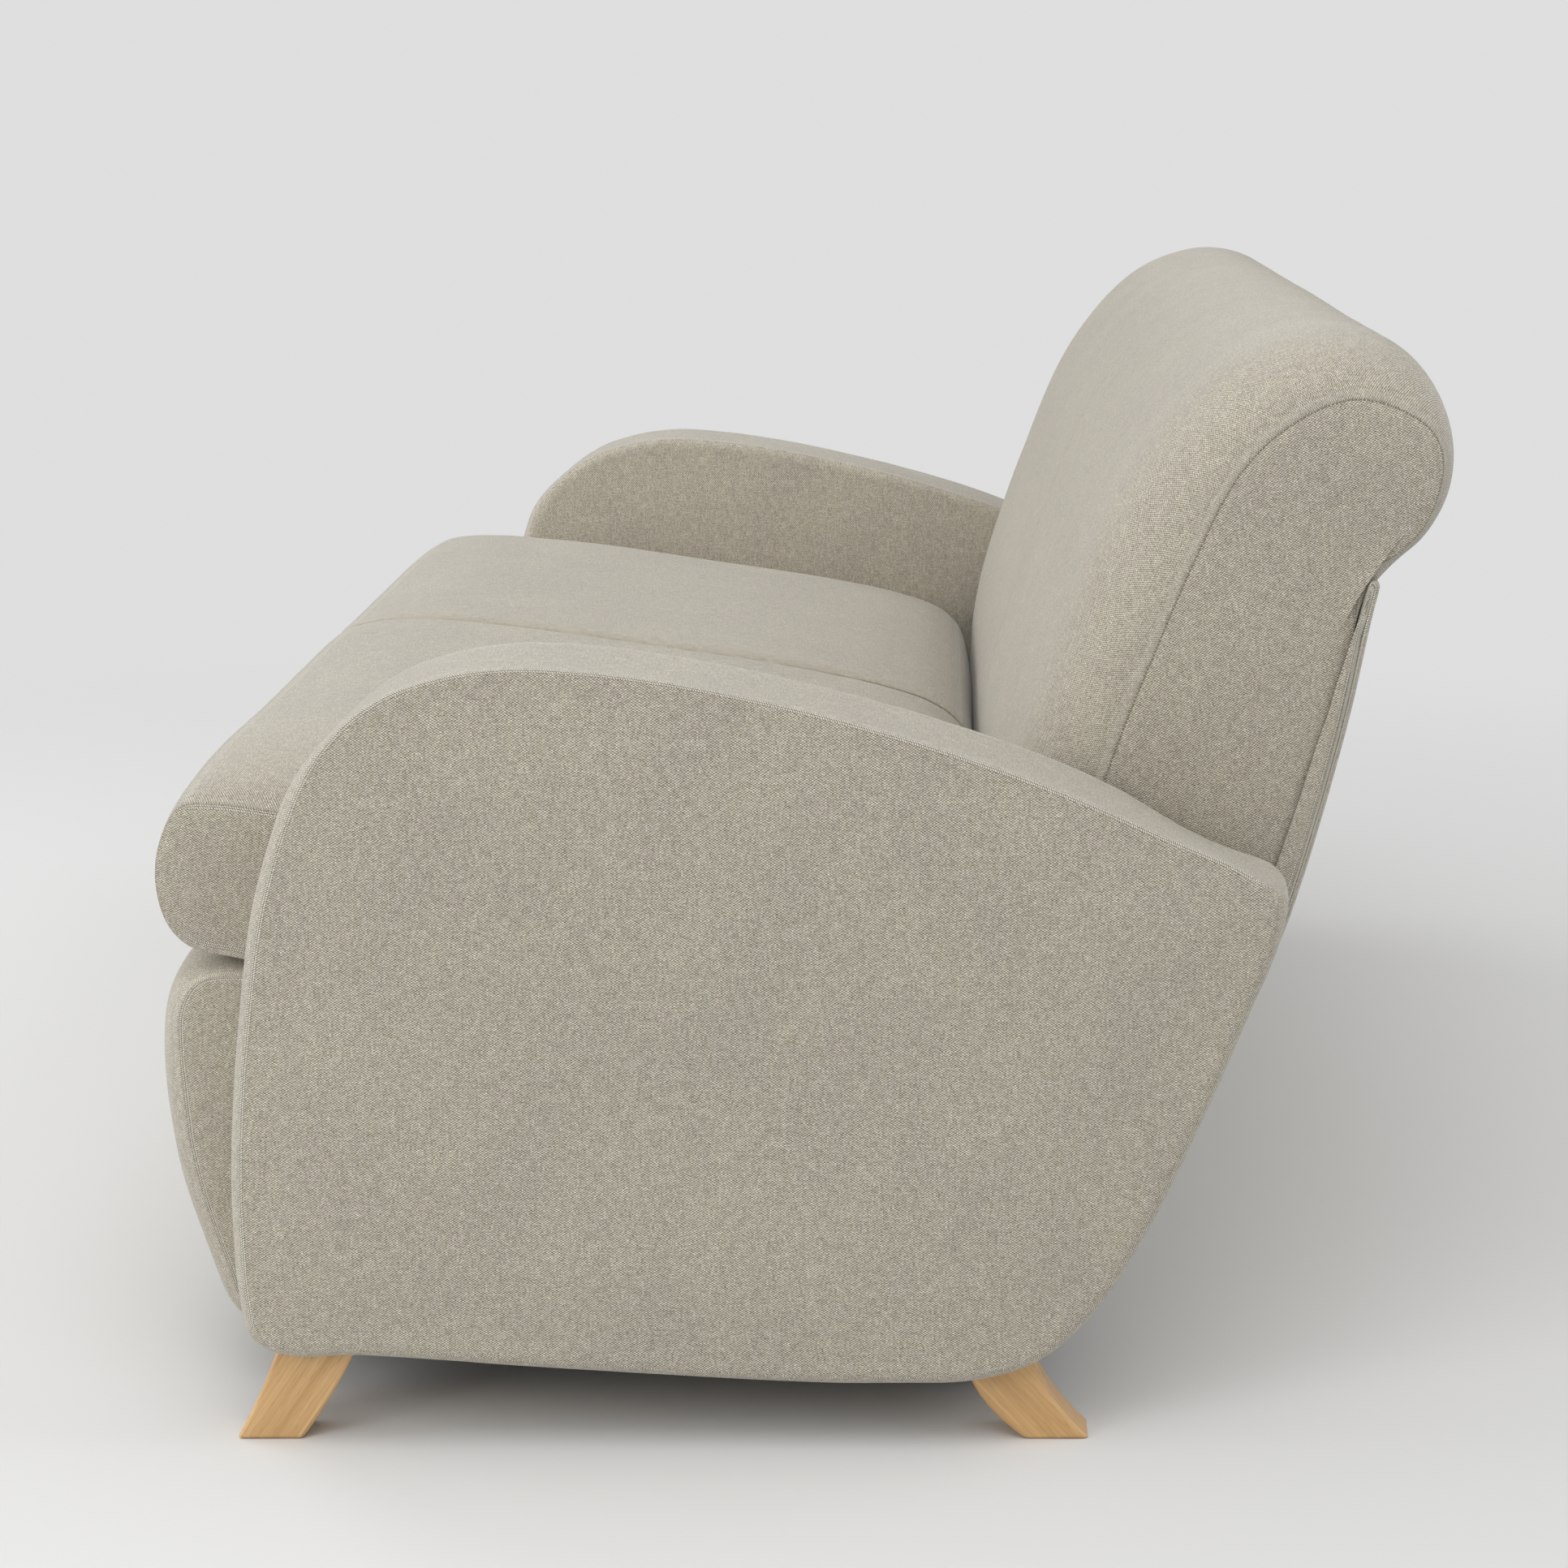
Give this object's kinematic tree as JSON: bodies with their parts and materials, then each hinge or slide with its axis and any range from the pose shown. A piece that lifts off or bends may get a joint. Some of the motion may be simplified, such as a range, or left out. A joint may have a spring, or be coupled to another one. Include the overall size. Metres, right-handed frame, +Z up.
{
  "type": "roll-back two-seat sofa",
  "caption": "Upholstered two-seat sofa with arched slab arms, a back that rolls over at the top, loose box seat cushions and short splayed wooden feet.",
  "frame": {"origin": "on the floor, under the middle of the sofa's outline box", "axes": "+X runs along the sofa to a sitter's left-hand end, which is the end nearest the picture's camera; -Y is the front, where the sitter's legs are; +Z is up. In node names, right is the +X end, as seen by someone who stands in front"},
  "size_m": [1.616, 0.957, 0.776],
  "materials": {
    "linen": "matte",
    "foam": "matte",
    "felt": "matte",
    "webbing": "matte",
    "lining_cloth": "matte",
    "oak": "satin",
    "beech": "matte",
    "plywood": "matte",
    "spring_steel": "satin",
    "bolt_steel": "satin"
  },
  "bodies": {
    "frame": {"arm_bolt_front_left": "bolt_steel", "arm_bolt_front_right": "bolt_steel", "arm_bolt_rear_left": "bolt_steel", "arm_bolt_rear_right": "bolt_steel", "arm_bottom_rail_left": "beech", "arm_bottom_rail_right": "beech", "arm_inner_ply_left": "plywood", "arm_inner_ply_right": "plywood", "arm_outer_ply_left": "plywood", "arm_outer_ply_right": "plywood", "arm_pad_left": "linen", "arm_pad_right": "linen", "back_lower_rail": "beech", "back_pad": "linen", "back_post_left": "beech", "back_post_middle": "beech", "back_post_right": "beech", "back_strap_1": "webbing", "back_strap_2": "webbing", "back_strap_3": "webbing", "back_top_rail": "beech", "base_front_rail": "beech", "base_middle_rail": "beech", "base_rear_rail": "beech", "base_side_rail_left": "beech", "base_side_rail_right": "beech", "corner_block_front_left": "beech", "corner_block_front_right": "beech", "corner_block_rear_left": "beech", "corner_block_rear_right": "beech", "dust_cover": "lining_cloth", "foot_bolt_front_left": "bolt_steel", "foot_bolt_front_right": "bolt_steel", "foot_bolt_rear_left": "bolt_steel", "foot_bolt_rear_right": "bolt_steel", "foot_front_left": "oak", "foot_front_right": "oak", "foot_rear_left": "oak", "foot_rear_right": "oak", "front_rail_pad": "linen", "outer_back_panel": "linen", "seat_deck_pad": "felt", "seat_spring_left_1": "spring_steel", "seat_spring_left_2": "spring_steel", "seat_spring_left_3": "spring_steel", "seat_spring_left_4": "spring_steel", "seat_spring_right_1": "spring_steel", "seat_spring_right_2": "spring_steel", "seat_spring_right_3": "spring_steel", "seat_spring_right_4": "spring_steel"},
    "left_cushion": {"seat_cushion_left": "linen", "cushion_core_left": "foam", "cushion_zip_left": "webbing"},
    "right_cushion": {"seat_cushion_right": "linen", "cushion_core_right": "foam", "cushion_zip_right": "webbing"}
  },
  "joints": [
    {"name": "left_cushion_lift", "type": "slide", "parent": "frame", "child": "left_cushion", "axis": [0, 0, 1], "range_m": [0, 0.34]},
    {"name": "right_cushion_lift", "type": "slide", "parent": "frame", "child": "right_cushion", "axis": [0, 0, 1], "range_m": [0, 0.34]}
  ]
}
